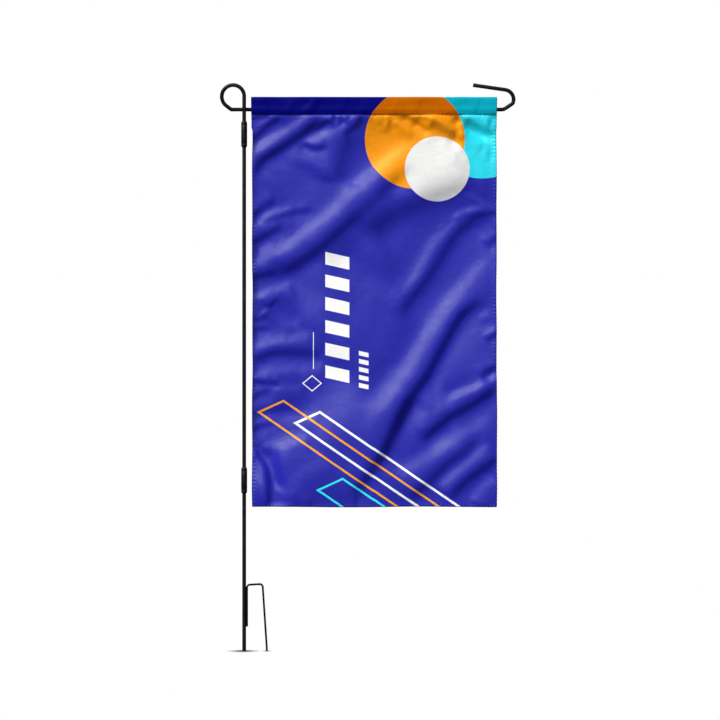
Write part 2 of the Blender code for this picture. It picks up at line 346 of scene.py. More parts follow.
def artwork(net, across, down):
    """Discs, outlined ribbons and plain bars on the blue ground."""
    def above(value, edge):
        return net.ramp(value, edge - EDGE, edge + EDGE)

    def below(value, edge):
        return net.ramp(value, edge - EDGE, edge + EDGE, 1.0, 0.0)

    def both(*shares):
        made = shares[0]
        for share in shares[1:]:
            made = net.math("MULTIPLY", made, share)
        return made

    def offset(x, y):
        return net.math("SUBTRACT", across, x), net.math("SUBTRACT", down, y)

    def projected(dx, dy, ax, ay):
        return net.math("MULTIPLY_ADD", dx, ax, net.math("MULTIPLY", dy, ay))

    colour = BLUE
    for x, y, radius, ink in DISCS:
        dx, dy = offset(x, y)
        away = net.math("SQRT", projected(dx, dy, dx, dy))
        colour = net.mix(below(away, radius), colour, ink)
    slope, end = RIBBON_SLOPE, RIBBON_END
    for x, y, wide, line, ink in RIBBONS:
        dx, dy = offset(x, y)
        side = projected(dx, dy, math.sin(slope), -math.cos(slope))
        reach = projected(dx, dy, math.sin(end), math.cos(end))
        outer = both(above(side, 0.0), below(side, wide), above(reach, 0.0))
        inner = both(above(side, line), below(side, wide - line), above(reach, line))
        colour = net.mix(net.math("SUBTRACT", outer, inner, clamp=True), colour, ink)
    for x0, x1, y0, pitch, bar, count in BARS:
        dx, dy = offset(x0, y0)
        shifted = net.math("ADD", dy, BAR_LEAN * (x1 - x0))
        slid = net.math("MULTIPLY_ADD", dx, -BAR_LEAN, shifted)
        part = net.math("PINGPONG", net.math("SUBTRACT", slid, bar / 2.0), pitch / 2.0)
        span = both(above(slid, -BAR_START), below(slid, pitch * count - BAR_START))
        inside = both(below(part, bar / 2.0), above(across, x0), below(across, x1), span)
        colour = net.mix(inside, colour, BRIGHT)
    x, half, y0, y1 = RULE
    near = net.math("ABSOLUTE", net.math("SUBTRACT", across, x))
    rule = both(below(near, half), above(down, y0), below(down, y1))
    x, y, wide, high, line = DIAMOND
    dx, dy = offset(x, y)
    far = net.math(
        "ADD",
        net.math("DIVIDE", net.math("ABSOLUTE", dx), wide),
        net.math("DIVIDE", net.math("ABSOLUTE", dy), high),
    )
    ring = net.math("ABSOLUTE", net.math("SUBTRACT", far, 1.0))
    ring = net.ramp(ring, line * 0.8, line * 1.2, 1.0, 0.0)
    return net.mix(net.math("MAXIMUM", rule, ring), colour, BRIGHT)


def printed_cloth(name, pocket_shaded):
    """Woven polyester with the print; on the pocket a painted shade darkens and deepens the colour, and
    the gloss is duller.
    """
    net = Net(name)
    cut = net.node("ShaderNodeUVMap", uv_map="cut")
    split = net.node("ShaderNodeSeparateXYZ")
    net.put(split.inputs[0], cut.outputs[0])
    across = net.math("DIVIDE", split.outputs[0], MM)
    down = net.math("DIVIDE", split.outputs[1], -MM)
    flat = net.node("ShaderNodeCombineXYZ")
    net.put(flat.inputs[0], across)
    net.put(flat.inputs[1], down)
    flat = flat.outputs[0]
    colour = artwork(net, across, down)
    slub = net.noise(net.stretched(flat, (0.05, 1.4, 1.0)), 1.0, 3.0, 0.6)
    warp = net.noise(net.stretched(flat, (1.6, 0.06, 1.0)), 1.0, 2.0, 0.6)
    streaks = net.ramp(warp, 0.3, 0.7, -0.03, 0.03)
    uneven = net.math("ADD", net.ramp(slub, 0.3, 0.7, 0.93, 1.03), streaks)
    # painted shade on the pocket: its colour made deeper and darker
    if pocket_shaded:
        shade_deepened = net.node("ShaderNodeGamma")
        net.put(shade_deepened.inputs["Color"], colour)
        net.put(shade_deepened.inputs["Gamma"], POCKET_SHADE_GAMMA)
        colour = shade_deepened.outputs[0]
    # the slub's random tone, times the painted shade on the pocket
    slub_tone_and_pocket_shade = net.math("MULTIPLY", uneven, POCKET_PAINTED_SHADE if pocket_shaded else 1.0)
    shade = net.node("ShaderNodeCombineColor")
    for socket in shade.inputs:
        net.put(socket, slub_tone_and_pocket_shade)
    colour = net.mix(1.0, colour, shade.outputs[0], "MULTIPLY")
    turn = 2.0 * math.pi / WEAVE
    weave_across = net.math("SINE", net.math("MULTIPLY", across, turn))
    weave_down = net.math("SINE", net.math("MULTIPLY", down, turn))
    weave = net.math("MULTIPLY", weave_across, weave_down)
    soft = net.noise(net.stretched(flat, (0.12, 0.12, 1.0)), 1.0, 3.0, 0.55)
    normal = net.bump(soft, 0.0012, 0.35, net.bump(weave, 0.00005, 0.5))
    net.set(
        Base_Color=colour,
        Roughness=net.ramp(soft, 0.3, 0.7, 0.47, 0.53),
        IOR=1.58,
        Specular_IOR_Level=POCKET_GLOSS if pocket_shaded else CLOTH_GLOSS,
        Specular_Tint=(1.0, 1.0, 0.45, 1.0),
        Normal=normal,
    )
    return net.material


def sewing_thread(name):
    """Twisted blue polyester thread."""
    net = Net(name)
    place = net.place()
    ply = net.noise(place, 5200.0, 1.0, 0.5)
    dark, light = (0.012, 0.012, 0.26, 1.0), (0.05, 0.05, 0.50, 1.0)
    net.set(
        Base_Color=net.mix(net.ramp(ply, 0.3, 0.7), dark, light),
        Roughness=0.55,
        Specular_IOR_Level=0.6,
        Normal=net.bump(ply, 0.00008, 0.8),
    )
    return net.material


# ---------------- cloth shape

# How the hanging cloth turns along each crease: the tilt across it (above 0
# where it turns up and left, below 0 where it turns down and right), half its width, and its
# line on the flat cloth.
CREASES = (
    # broad turns of the whole cloth
    (-0.20, 20.0, ((152, 14), (128, 60), (104, 112))),
    (-0.16, 14.0, ((-12, 33), (150, 34), (320, 33))),
    (0.30, 34.0, ((150, 350), (60, 427), (-20, 490))),
    (0.14, 24.0, ((90, 235), (40, 285), (-10, 320))),
    (0.07, 50.0, ((330, 330), (150, 340), (-20, 330))),
    (-0.55, 2.4, ((26, 21), (10, 23), (-4, 26))),
    # under the seam, left
    (-0.44, 4.0, ((38, 22), (22, 32), (4, 48), (-4, 56))),
    (0.22, 2.8, ((27, 21), (12, 33), (2, 46))),
    (0.27, 6.7, ((74, 20), (46, 38), (20, 54), (-5, 72))),
    (-0.62, 5.0, ((90, 20), (70, 40), (50, 53), (28, 67), (10, 80), (2, 104))),
    (0.30, 2.2, ((100, 19), (90, 30))),
    (-0.65, 2.2, ((98, 26), (88, 33), (78, 42))),
    (-0.60, 2.2, ((102, 18), (101, 34))),
    (0.30, 2.0, ((106, 18), (105, 33))),
    (-0.60, 2.0, ((110, 18), (110, 36))),
    (-0.50, 2.2, ((120, 18), (119, 30))),
    (0.34, 2.4, ((126, 18), (122, 31))),
    (-0.50, 3.0, ((138, 18), (131, 33), (112, 48))),
    (0.30, 6.2, ((64, 52), (92, 44), (120, 36))),
    (-0.60, 3.0, ((60, 56), (77, 62), (94, 60))),
    (-0.21, 9.0, ((130, 42), (112, 70), (104, 110))),
    # the long fold down to the left edge
    (0.30, 6.5, ((206, 46), (180, 68), (156, 89), (126, 116), (104, 138), (75, 160),
                 (41, 186), (6, 204), (-26, 220))),
    (-0.27, 14.0, ((184, 116), (148, 154), (118, 186), (86, 216))),
    (-0.54, 8.0, ((204, 76), (190, 90), (166, 112), (138, 138), (112, 162), (76, 194),
                  (42, 216), (14, 230))),
    (-0.20, 26.0, ((312, 128), (232, 152), (190, 192), (146, 236))),
    (-0.41, 16.0, ((284, 104), (216, 124), (178, 146), (140, 178))),
    # left edge, downwards
    (-0.42, 4.0, ((30, 126), (-4, 149))),
    (0.23, 5.6, ((50, 137), (8, 150))),
    (-0.36, 3.0, ((78, 139), (46, 144), (12, 154))),
    (-0.47, 4.0, ((39, 159), (-3, 182))),
    (0.22, 3.4, ((15, 154), (-3, 160))),
    (0.23, 4.5, ((27, 182), (6, 193))),
    (-0.42, 4.0, ((30, 217), (-3, 225))),
    (0.38, 8.0, ((50, 228), (24, 240), (-10, 254))),
    (0.40, 4.5, ((4, 246), (26, 268), (56, 288))),
    (-0.39, 3.0, ((20, 271), (-3, 279))),
    (0.25, 6.7, ((78, 296), (34, 302), (0, 309))),
    (-0.52, 2.4, ((22, 289), (8, 288), (-3, 291))),
    (-0.44, 6.0, ((92, 322), (52, 318), (22, 319), (-3, 332))),
    (0.25, 7.8, ((92, 338), (52, 337), (22, 339), (-3, 349))),
    (-0.55, 2.6, ((36, 357), (14, 355), (-3, 352))),
    (0.26, 6.0, ((66, 362), (18, 361))),
    (-0.47, 2.4, ((26, 364), (8, 370), (-3, 377))),
    (-0.34, 4.0, ((52, 386), (20, 390), (-3, 396))),
    (0.22, 9.0, ((86, 396), (44, 401), (6, 406))),
    (-0.49, 3.0, ((30, 405), (12, 409), (-3, 416))),
    (0.23, 9.0, ((74, 420), (40, 427), (4, 436))),
    (-0.90, 4.5, ((-2, 434), (13, 453), (20, 475), (20, 516))),
    (0.40, 10.0, ((26, 432), (36, 462), (42, 486), (46, 516))),
    (0.36, 10.0, ((100, 452), (62, 470), (42, 500))),
    (0.14, 12.0, ((90, 440), (50, 446), (20, 452))),
    # the long folds across the middle
    (0.22, 7.8, ((268, 146), (234, 172), (219, 190), (203, 223), (186, 247))),
    (-0.50, 8.0, ((300, 146), (262, 164), (246, 185), (224, 219), (197, 254), (178, 278))),
    (0.32, 9.0, ((306, 182), (267, 227), (240, 258), (214, 300), (188, 344), (166, 378), (130, 434))),
    (0.14, 7.8, ((180, 330), (160, 362), (138, 396))),
    (-0.68, 6.5, ((306, 252), (285, 254), (262, 272), (242, 304), (219, 345), (201, 369),
                  (186, 394), (172, 420), (160, 446), (132, 486), (112, 516))),
    (-0.36, 9.0, ((200, 366), (186, 392), (173, 416), (160, 440), (146, 464))),
    # upper right, under the discs
    (0.30, 3.6, ((262, 116), (282, 126), (308, 141))),
    (0.29, 3.8, ((292, 136), (270, 139), (246, 149))),
    (-0.34, 3.0, ((306, 142), (268, 149))),
    (-0.85, 4.6, ((252, 19), (268, 29), (284, 38), (304, 48))),
    (0.80, 4.2, ((260, 38), (275, 47), (292, 56))),
    (-0.55, 3.0, ((297, 19), (295, 50), (295, 82))),
    (-0.92, 4.6, ((204, 18), (224, 30), (243, 42), (266, 55))),
    (0.80, 4.2, ((222, 18), (241, 29), (258, 39))),
    (-0.50, 2.2, ((160, 18), (161, 24), (164, 34))),
    (0.24, 2.6, ((166, 18), (169, 34))),
    (-0.62, 3.4, ((169, 18), (171, 30), (172, 44))),
    (-1.00, 3.2, ((186, 18), (201, 26), (212, 34), (224, 42))),
    (0.55, 3.4, ((176, 26), (190, 34), (204, 43))),
    (-0.36, 2.0, ((148, 18), (150, 30))),
    (-0.36, 2.0, ((190, 18), (204, 22), (216, 24))),
    (-0.26, 4.0, ((241, 50), (259, 81))),
    # right edge, downwards
    (-0.42, 4.0, ((308, 172), (290, 186))),
    (0.23, 3.4, ((296, 263), (283, 275))),
    (0.23, 3.4, ((304, 284), (290, 296))),
    (-0.42, 3.0, ((309, 291), (291, 304))),
    (-0.47, 3.5, ((307, 333), (284, 348))),
    (0.56, 4.2, ((310, 342), (294, 353), (278, 361), (262, 367), (240, 376))),
    (0.13, 10.1, ((290, 372), (256, 380), (222, 388))),
    (-0.55, 6.5, ((308, 358), (284, 376), (263, 389), (246, 398), (230, 412), (206, 432))),
    (0.14, 9.0, ((300, 398), (270, 414), (250, 424))),
    (0.23, 9.0, ((262, 420), (234, 437), (206, 455), (176, 474))),
    (-0.44, 7.0, ((286, 418), (264, 443), (245, 456), (226, 473), (209, 488), (196, 508))),
    (0.25, 9.0, ((300, 424), (276, 448), (251, 469), (228, 490))),
    (-0.47, 6.5, ((310, 446), (282, 466), (261, 482), (242, 504))),
    (0.22, 7.8, ((304, 470), (284, 490), (270, 510))),
    (0.12, 20.0, ((312, 396), (240, 440), (180, 480))),
    # puckers in the bottom hem
    (-0.36, 3.0, ((72, 494), (70, 514))),
    (0.20, 3.4, ((67, 494), (64, 514))),
    (-0.36, 3.0, ((129, 494), (126, 514))),
    (0.20, 3.4, ((124, 494), (121, 514))),
    (-0.39, 2.4, ((270, 500), (280, 507), (298, 509))),
)
POCKET_CREASES = (             # in the pocket's front ply
    (0.36, 3.0, ((78, -2), (68, 9), (58, 24))),
    (-0.32, 3.0, ((90, -2), (82, 10), (76, 24))),
    (0.20, 4.0, ((48, -2), (36, 24))),
    (-0.24, 3.4, ((18, -2), (24, 24))),
    (-0.26, 3.0, ((124, -2), (112, 24))),
    (0.20, 4.0, ((142, -2), (128, 24))),
    (0.22, 3.0, ((180, -2), (168, 24))),
    (-0.22, 3.2, ((214, -2), (204, 24))),
    (0.20, 3.4, ((250, -2), (238, 24))),
    (-0.26, 3.2, ((286, -2), (278, 24))),
)
SPREAD = 3.4                   # how far a crease takes to settle, in half widths
CUT_OFF = 2.2                  # and where it is left out, in spreads
FADE_LEAST = 5.0               # how far a crease takes to end, in millimetres
FADE_SHARE = 0.16              # or as a share of its length
DOWN_RIGHT = np.array((0.7, 0.7))      # the far side of a crease


def eased(value):
    value = np.clip(value, 0.0, 1.0)
    return value * value * (3.0 - 2.0 * value)


def smooth_line(points, pieces=7):
    """A curve through the points, pieces runs between each pair."""
    points = np.array(points, float)
    ends = np.vstack((2.0 * points[0] - points[1], points, 2.0 * points[-1] - points[-2]))
    made = []
    for a, b, c, d in zip(ends, ends[1:], ends[2:], ends[3:]):
        for t in np.arange(pieces) / pieces:
            made.append(0.5 * (2.0 * b + (c - a) * t + (2.0 * a - 5.0 * b + 4.0 * c - d) * t ** 2
                               + (3.0 * b - a - 3.0 * c + d) * t ** 3))
    return np.array(made + [points[-1]])


def crease_height(xs, ys, tilt, half, line):
    """What one crease adds to the relief over the grid of xs and ys."""
    height = np.zeros((len(ys), len(xs)))
    reach = half * SPREAD * CUT_OFF
    points = smooth_line(line)
    inside_x = (xs > points[:, 0].min() - reach) & (xs < points[:, 0].max() + reach)
    inside_y = (ys > points[:, 1].min() - reach) & (ys < points[:, 1].max() + reach)
    if not (inside_x.any() and inside_y.any()):
        return height
    grid = np.stack(np.meshgrid(xs[inside_x], ys[inside_y]), -1)
    runs = points[1:] - points[:-1]
    lengths = np.linalg.norm(runs, axis=1)
    starts = np.concatenate(([0.0], np.cumsum(lengths)))
    best = np.full(grid.shape[:2], np.inf)
    signed = np.zeros_like(best)
    travelled = np.zeros_like(best)
    for start, run, length, before in zip(points, runs, lengths, starts):
        along = run / length
        across = np.array((-along[1], along[0]))
        if across @ DOWN_RIGHT < 0.0:
            across = -across
        rel = grid - start
        t = np.clip(rel @ along, 0.0, length)
        away = rel - t[..., None] * along
        distance = np.hypot(away[..., 0], away[..., 1])
        nearer = distance < best
        best = np.where(nearer, distance, best)
        signed = np.where(nearer, np.where(away @ across < 0.0, -distance, distance), signed)
        travelled = np.where(nearer, before + t, travelled)
    total = starts[-1]
    fade = max(FADE_LEAST, FADE_SHARE * total)
    ends = eased(travelled / fade) * eased((total - travelled) / fade)
    shape = np.tanh(signed / half) * np.exp(-(signed / (half * SPREAD)) ** 2)
    window = np.ix_(inside_y, inside_x)
    height[window] = tilt * half * shape * ends
    return height


def blurred(field):
    """Each value with a share of its neighbours', down and then across."""
    padded = np.pad(field, 1, mode="edge")
    field = (padded[:-2, 1:-1] + padded[2:, 1:-1] + 2.0 * field) / 4.0
    padded = np.pad(field, 1, mode="edge")
    return (padded[1:-1, :-2] + padded[1:-1, 2:] + 2.0 * field) / 4.0


def made_relief():
    """How far the cloth stands forward of its plane, on a regular grid."""
    xs = np.arange(-MARGIN, WIDTH + MARGIN + RELIEF_CELL, RELIEF_CELL)
    ys = np.arange(0.0, LENGTH + MARGIN + RELIEF_CELL, RELIEF_CELL)
    height = np.zeros((len(ys), len(xs)))
    for tilt, half, line in CREASES:
        height += crease_height(xs, ys, tilt, half, line)
    # slow and quick ripples along the same diagonal as the folds
    gx, gy = np.meshgrid(xs, ys)
    diagonal = gx * 0.75 + gy * 0.66
    height += 0.55 * np.sin(diagonal / 21.0 + 0.9 * np.sin((gx - gy) / 61.0))
    height += 0.16 * np.sin(diagonal / 7.3 + 1.7 * np.sin((gx - 0.6 * gy) / 37.0) + 1.0)
    height = DEEPEST * np.tanh(height / DEEPEST)
    # the seam holds the cloth straight, and so do the pocket's top and bottom
    height *= eased((gy - POCKET + 0.5) / 4.5)
    loose = eased(gy / 3.0) * eased((POCKET - gy) / 3.0)
    stood = np.zeros_like(height)
    for tilt, half, line in POCKET_CREASES:
        stood += crease_height(xs, ys, tilt, half, line)
    height += loose * (stood + np.hypot(stood, 0.3)) / 2.0      # never back into the arm
    return xs, ys, blurred(height)


RELIEF = made_relief()


def relief(across, down):
    """The relief between its grid's points."""
    xs, ys, field = RELIEF
    fx = np.clip((across - xs[0]) / RELIEF_CELL, 0.0, len(xs) - 1.001)
    fy = np.clip((down - ys[0]) / RELIEF_CELL, 0.0, len(ys) - 1.001)
    ix, iy = fx.astype(int), fy.astype(int)
    tx, ty = fx - ix, fy - iy
    top = field[iy, ix] * (1.0 - tx) + field[iy, ix + 1] * tx
    low = field[iy + 1, ix] * (1.0 - tx) + field[iy + 1, ix + 1] * tx
    return top * (1.0 - ty) + low * ty


def made_belt():
    """Half the pocket's thickness against the depth below its fold: a belt round the arm."""
    circles = (                # how far down, radius: top fold, arm, seam
        (0.6, 0.55),
        (ARM_DOWN, ROD / MM + ROUND_ARM),
        (POCKET - PLY_GAP / 2.0, PLY_GAP / 2.0),
    )
    downs, halves = [], []
    for k in range(BELT_STEPS + 1):
        angle = math.pi * k / BELT_STEPS
        up, out = math.cos(angle), math.sin(angle)
        depth, radius = max(circles, key=lambda c: -c[0] * up + c[1])
        downs.append(depth - radius * up)
        halves.append(radius * out)
    return np.array(downs), np.array(halves)


BELT = made_belt()


def folded(past):
    """(distance in from the fold line, share of the way to the back ply) at a turned edge."""
    inward = np.sqrt(past ** 2 + FOLD_ROUND ** 2) - FOLD_ROUND
    return inward, eased(past / FOLD_TURN + 0.5)


def drifting(value, length, drift, drift_length, phase=0.0):
    """A wave whose phase drifts to and fro, so that it doesn't repeat evenly."""
    return np.sin(value / length + drift * np.sin(value / drift_length + phase))


def hump(distance, half):
    return np.exp(-(distance / half) ** 2)


def hang(u, s):
    """Where points of the flat cut hang. u is across and s is down, both in millimetres."""
    u, s = np.asarray(u, float), np.asarray(s, float)
    left_in, left_back = folded(-u)
    right_in, right_back = folded(u - WIDTH)
    low_in, low_back = folded(s - LENGTH)
    across = np.where(u < WIDTH / 2.0, left_in, WIDTH - right_in)
    round_top = np.sqrt(s ** 2 + FOLD_ROUND ** 2)
    down = np.where(s > LENGTH / 2.0, LENGTH - low_in, round_top - FOLD_ROUND)
    face = s / round_top
    half = np.interp(down, BELT[0], BELT[1], left=0.0, right=PLY_GAP / 2.0)
    half = np.where(down > POCKET - STEP_START, PLY_GAP / 2.0, half)
    back = PLY_GAP * (np.maximum(left_back, right_back) + low_back)
    forward = relief(across, down)
    forward = np.where(down < POCKET, forward * (1.0 + face) / 2.0, forward)
    # the pocket's front ply hangs almost upright, and its back ply goes round the arm
    forward += TOP_FORWARD * (1.0 - eased(down / (ARM_DOWN - 2.0)))
    forward += SEAM_FORWARD * eased((down - ARM_DOWN) / (POCKET - ARM_DOWN))
    # loose cloth above the arm
    free = 1.0 - eased((down - 2.0) / 7.0)
    forward += LOOSE_WAVE * free * drifting(across, 13.0, 2.2, 41.0)
    # stitches pull the hems and the seam into small puckers, here more and there less
    side = np.minimum(across, WIDTH - across)
    low = LENGTH - down
    ripple = STITCH_PITCH / (2.0 * math.pi)
    more_down = 0.55 + 0.45 * drifting(down, 17.0, 2.0, 29.0, across * 0.01)
    more_across = 0.55 + 0.45 * drifting(across, 19.0, 2.0, 31.0)
    hem_side = hump(side - PUCKER_IN, PUCKER_HALF) * eased((down - POCKET) / 4.0)
    hem_low = hump(low - PUCKER_IN, PUCKER_HALF)
    seam = hump(down - POCKET - 1.0, 2.0) * eased((down - POCKET + 2.0) / 2.0)
    forward += SIDE_PUCKER * more_down * hem_side * np.sin(down / ripple)
    forward += LOW_PUCKER * more_across * hem_low * np.sin(across / ripple)
    forward += SEAM_PUCKER * more_across * seam * drifting(across, ripple, 1.3, 7.0)
    # under the seam the panel starts a step behind the pocket and leans back before it hangs
    below = np.maximum(down - POCKET + STEP_START, 0.0)
    forward -= STEP_BACK * eased(below / 0.9) + LEAN_BACK * (1.0 - np.exp(-below / LEAN_OVER))
    forward += LEAN_OUT * eased((below - LEAN_OUT_FROM) / LEAN_OUT_OVER)
    # the turned hems stand a ply proud, and their stitches sink into them
    started = eased(below / 6.0)
    for inside in (side, low):
        forward -= started * HEM_STEP * eased((inside - HEM_STEP_IN) / 1.2)
        forward -= started * STITCH_SINK * hump(inside - HEM_STITCH_IN, STITCH_GROOVE)
    # the edges aren't quite straight, and the top of the flag is a little wider
    on_left = across < WIDTH / 2.0
    edge_in = 0.45 * np.sin(down / 23.0) * np.sin(down / 51.0 + 0.6) + 0.12 * np.sin(down / ripple)
    edge_in -= np.where(on_left, 1.25, 0.3) * (1.0 - eased((down - 37.0) / 4.0))
    pull = np.exp(-side / 14.0) * np.where(on_left, 1.0, -1.0)
    lift = 0.35 * np.sin(across / 27.0) * np.exp(-low / 12.0) + 0.10 * hem_low * np.sin(across / ripple)
    lift += 0.6 * np.exp(-down / 8.0)
    x = LEFT + MM * (across + edge_in * pull)
    y = MIDDLE_Y - MM * (forward + half * face - back)
    z = TOP - MM * (down - lift)
    return np.stack((x, y, z), -1)


def stops(*marks):
    """The marks, and even steps of about one cell between them."""
    made = [marks[0]]
    for low, high in zip(marks, marks[1:]):
        count = max(1, round((high - low) / CELL))
        made += [low + (high - low) * k / count for k in range(1, count + 1)]
    return np.array(made)


def halved(values):
    """The same stops with one more in the middle of each cell."""
    made = np.empty(2 * len(values) - 1)
    made[::2] = values
    made[1::2] = (values[1:] + values[:-1]) / 2.0
    return made


def made_cloth():
    """One sheet: pocket's back ply, top fold, panel, and the hems turned to the back."""
    us = stops(
        -SIDE_HEM, -FOLD_TURN, FOLD_TURN, HEM_BAND,
        WIDTH - HEM_BAND, WIDTH - FOLD_TURN, WIDTH + FOLD_TURN, WIDTH + SIDE_HEM,
    )
    ss = stops(
        -POCKET - ALLOWANCE, -POCKET, -1.8, 1.8, POCKET - 0.4, POCKET + 0.8, POCKET + 6.0,
        LENGTH - HEM_BAND, LENGTH - FOLD_TURN, LENGTH + FOLD_TURN, LENGTH + BOTTOM_HEM,
    )
    fine_u, fine_s = halved(us), halved(ss)
    near = HEM_BAND + 0.1
    near_side = (us[1:] < near) | (us[:-1] > WIDTH - near)
    near_seam = (abs(ss[1:] + ss[:-1]) / 2.0 < POCKET + SEAM_BAND) | (ss[:-1] > LENGTH - near)
    refined = near_side[None, :] | near_seam[:, None]
    index, order, faces = {}, [], []

    def vertex(i, j):
        if (i, j) not in index:
            index[i, j] = len(order)
            order.append((i, j))
        return index[i, j]

    rows, columns = refined.shape
    for j in range(rows):
        for i in range(columns):
            a, b = 2 * i, 2 * j
            if refined[j, i]:
                for di in (0, 1):
                    for dj in (0, 1):
                        corners = ((0, 0), (0, 1), (1, 1), (1, 0))
                        faces.append([vertex(a + di + p, b + dj + q) for p, q in corners])
                continue
            ring = [(a, b)]
            if i > 0 and refined[j, i - 1]:
                ring.append((a, b + 1))
            ring.append((a, b + 2))
            if j < rows - 1 and refined[j + 1, i]:
                ring.append((a + 1, b + 2))
            ring.append((a + 2, b + 2))
            if i < columns - 1 and refined[j, i + 1]:
                ring.append((a + 2, b + 1))
            ring.append((a + 2, b))
            if j > 0 and refined[j - 1, i]:
                ring.append((a + 1, b))
            faces.append([vertex(*spot) for spot in ring])
    order = np.array(order)
    u, s = fine_u[order[:, 0]], fine_s[order[:, 1]]
    mesh = bpy.data.meshes.new("hanging_flag")
    mesh.from_pydata(hang(u, s).tolist(), [], faces)
    layer = mesh.uv_layers.new(name="cut")
    corner = np.zeros(len(mesh.loops), int)
    mesh.loops.foreach_get("vertex_index", corner)
    layer.uv.foreach_set("vector", np.stack((u[corner], -s[corner]), -1).ravel() * MM)
    mesh.update()
    return mesh


def linked(name, mesh, material):
    mesh.materials.append(material)
    made = bpy.data.objects.new(name, mesh)
    bpy.context.scene.collection.objects.link(made)
    return made


def put(piece, body, node):
    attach(piece, body)
    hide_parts(node)


def applied(obj):
    """Its modifiers, made part of its mesh."""
    bpy.context.view_layer.update()
    graph = bpy.context.evaluated_depsgraph_get()
    mesh = bpy.data.meshes.new_from_object(obj.evaluated_get(graph))
    obj.modifiers.clear()
    obj.data = mesh


def solid(name, points, faces, material, sharp=SHARP):
    """A smooth-shaded piece, its edges sharp from that many degrees on."""
    mesh = bpy.data.meshes.new(name)
    mesh.from_pydata([tuple(p) for p in points], [], faces)
    mesh.update()
    mesh.shade_smooth()
    if sharp:
        mesh.set_sharp_from_angle(angle=math.radians(sharp))
    return linked(name, mesh, material)


def tube_faces(first, rings, sides):
    """Faces round a run of rings whose points start at first, with a cap at each end."""
    faces = []
    for low in range(first, first + (rings - 1) * sides, sides):
        for m in range(sides):
            n = (m + 1) % sides
            faces.append((low + m, low + n, low + sides + n, low + sides + m))
    faces.append([first + m for m in reversed(range(sides))])
    faces.append([first + (rings - 1) * sides + m for m in range(sides)])
    return faces


def build_flag():
    cloth = linked("hanging_flag", made_cloth(), printed_cloth("printed_polyester", False))
    cloth.data.materials.append(printed_cloth("printed_pocket_painted_shade", True))
    spots = cloth.data.uv_layers["cut"].uv
    # faces of the pocket get the material with the painted shade
    pocket_shaded = []
    for face in cloth.data.polygons:
        up = sum(spots[k].vector.y for k in face.loop_indices) / face.loop_total
        pocket_shaded.append(int(up > -POCKET * MM))
    cloth.data.polygons.foreach_set("material_index", pocket_shaded)
    thick = cloth.modifiers.new("ply", "SOLIDIFY")
    thick.thickness = PLY * MM
    thick.offset = 0.0
    applied(cloth)
    cloth.data.shade_smooth()
    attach(cloth, "flag")
    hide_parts("rod_pocket", "flag_panel", "left_hem", "right_hem", "bottom_hem")
    return cloth


# ---------------- stitches

def stitch_row(name, starts, ends, outs, material):
    """A row of short threads, each arched out of the cloth from start to end."""
    turns = [2.0 * math.pi * k / STITCH_SIDES for k in range(STITCH_SIDES)]
    thread = STITCH_RADIUS * MM
    points, faces = [], []
    for start, end, out in zip(starts, ends, outs):
        faces += tube_faces(len(points), STITCH_RINGS, STITCH_SIDES)
        start, outward = Vector(start), Vector(out)
        along = Vector(end) - start
        across = along.normalized().cross(outward).normalized()
        for k in range(STITCH_RINGS):
            t = k / (STITCH_RINGS - 1)
            arch = math.sin(math.pi * t)
            radius = thread * (0.35 + 0.65 * arch ** 0.4)
            centre = start + along * t + outward * (thread * (1.1 * arch ** 0.5 - 0.55))
            for turn in turns:
                around = across * math.cos(turn) + outward * math.sin(turn)
                points.append(centre + around * radius)
    return solid(name, points, faces, material, 0.0)


def stitching(name, spots, backs, replaced):
    """Stitches between neighbouring spots of the cut, seen on the front and on the back ply."""
    starts, ends, outs = [], [], []
    gap = (1.0 - STITCH_LENGTH / STITCH_PITCH) / 2.0      # left at each end
    for line, outward in ((spots, -1.0), (backs, 1.0)):
        a, b = np.array(line[:-1]), np.array(line[1:])
        first, last = a + (b - a) * gap, b - (b - a) * gap
        skin = np.array((0.0, outward * PLY * MM / 2.0, 0.0))
        starts += (hang(first[:, 0], first[:, 1]) + skin).tolist()
        ends += (hang(last[:, 0], last[:, 1]) + skin).tolist()
        outs += [(0.0, outward, 0.0)] * len(first)
    made = stitch_row(name, starts, ends, outs, sewing_thread(name + "_thread"))
    put(made, "flag", replaced)
    return made


def even(low, high):
    """Spots a stitch apart from low to high."""
    count = round((high - low) / STITCH_PITCH)
    return [low + (high - low) * k / count for k in range(count + 1)]


def build_stitching():
    downs = even(POCKET + 2.0, LENGTH - 1.0)
    overs = even(1.0, WIDTH - 1.0)
    inset = HEM_STITCH_IN
    seam = POCKET + SEAM_STITCH_DOWN
    rows = (                   # name, CAD node, spots on the front, spots on the back ply
        ("left_hem_stitches", "left_stitching",
         [(inset, s) for s in downs], [(-inset, s) for s in downs]),
        ("right_hem_stitches", "right_stitching",
         [(WIDTH - inset, s) for s in downs], [(WIDTH + inset, s) for s in downs]),
        ("bottom_hem_stitches", "bottom_stitching",
         [(u, LENGTH - inset) for u in overs], [(u, LENGTH + inset) for u in overs]),
        ("pocket_stitches", "pocket_stitching",
         [(u, seam) for u in overs], [(u, -seam) for u in overs]),
    )
    return [stitching(name, front, back, node) for name, node, front, back in rows]


# ---------------- the stand

def rounded(corners, radii):
    """The polyline through corners, each inner corner replaced by an arc of its radius."""
    points = [corners[0]]
    for before, here, after, radius in zip(corners, corners[1:], corners[2:], radii):
        into = (here - before).normalized()
        out = (after - here).normalized()
        turn = into.angle(out)
        start = here - into * (radius * math.tan(turn / 2.0))
        inward = (out - into * into.dot(out)).normalized()
        centre = start + inward * radius
        steps = max(4, math.ceil(turn / BEND_STEP))
        for k in range(steps + 1):
            angle = turn * k / steps
            points.append(centre + radius * (into * math.sin(angle) - inward * math.cos(angle)))
    points.append(corners[-1])
    return points


